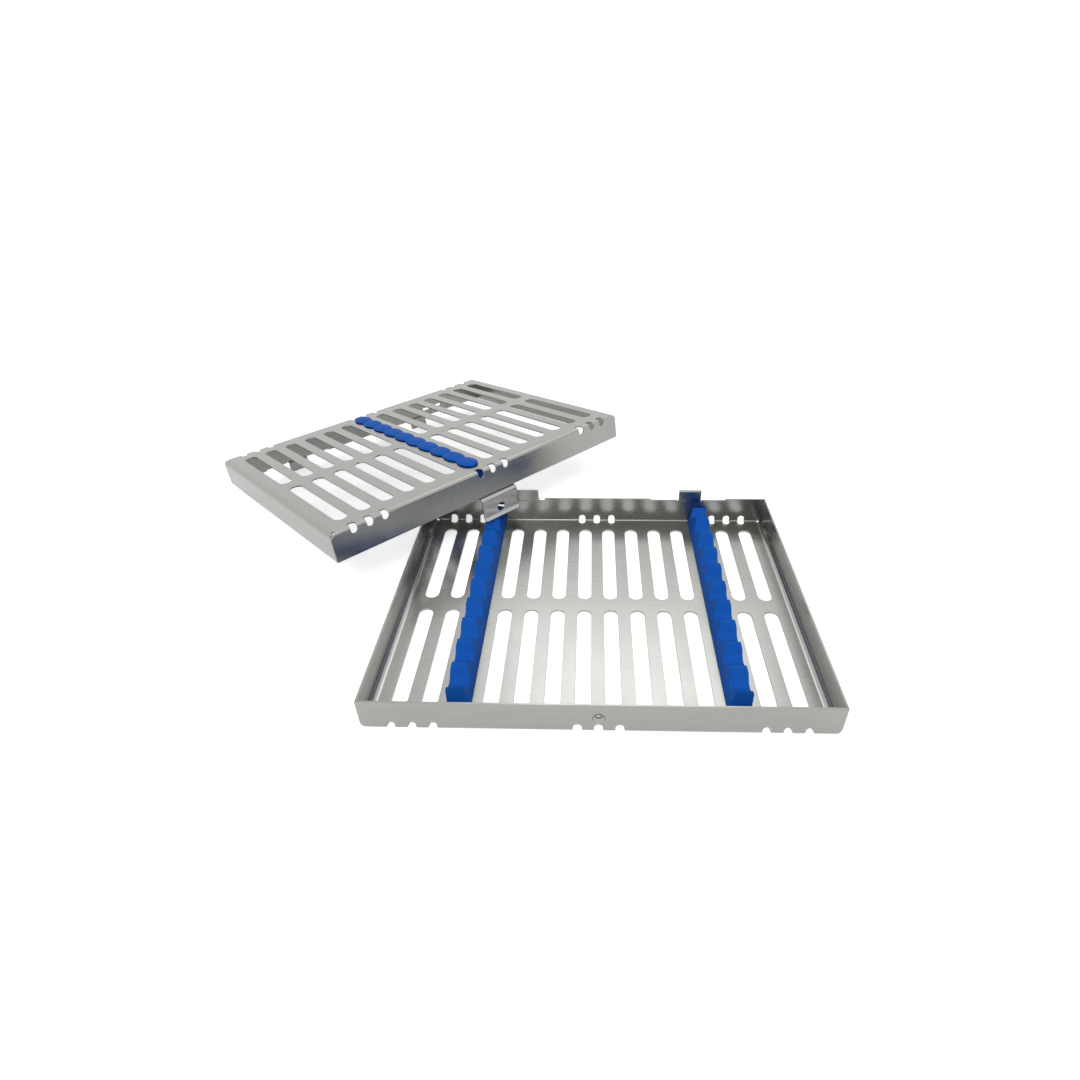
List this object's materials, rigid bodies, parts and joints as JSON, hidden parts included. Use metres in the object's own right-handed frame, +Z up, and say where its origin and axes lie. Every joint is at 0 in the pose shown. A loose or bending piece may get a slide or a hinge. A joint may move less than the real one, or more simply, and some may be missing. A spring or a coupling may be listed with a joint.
{
  "type": "dental instrument cassette",
  "caption": "Open folded-sheet cassette with slotted base and lid trays, toothed silicone instrument racks, a lid grip strip and a spring clip.",
  "frame": {"origin": "centre of the base tray's flat underside", "axes": "+X to the right along the tray's long side, +Y to the rear wall with the hook tabs, +Z up"},
  "size_m": [0.3069, 0.3006, 0.0386],
  "materials": {
    "tray_steel": "satin stainless sheet with a faint grain",
    "clip_steel": "bright spring stainless",
    "silicone": "matt moulded blue silicone"
  },
  "bodies": {
    "base": {"base_tray": "tray_steel", "rack_left": "silicone", "rack_right": "silicone"},
    "lid": {"lid_tray": "tray_steel", "lid_grip_strip": "silicone"},
    "latch": {"latch_clip": "clip_steel"}
  },
  "joints": [
    {"name": "lid_lift", "type": "slide", "parent": "base", "child": "lid", "axis": [0, 0, 1], "range_m": [0, 0.08]},
    {"name": "latch_flex", "type": "hinge", "parent": "lid", "child": "latch", "pos_m": [-0.05248, 0.0628, 0.02342], "axis": [-0.7114, -0.7028, 0], "range_deg": [0, 8], "stiffness_Nm_per_rad": 0.1}
  ]
}
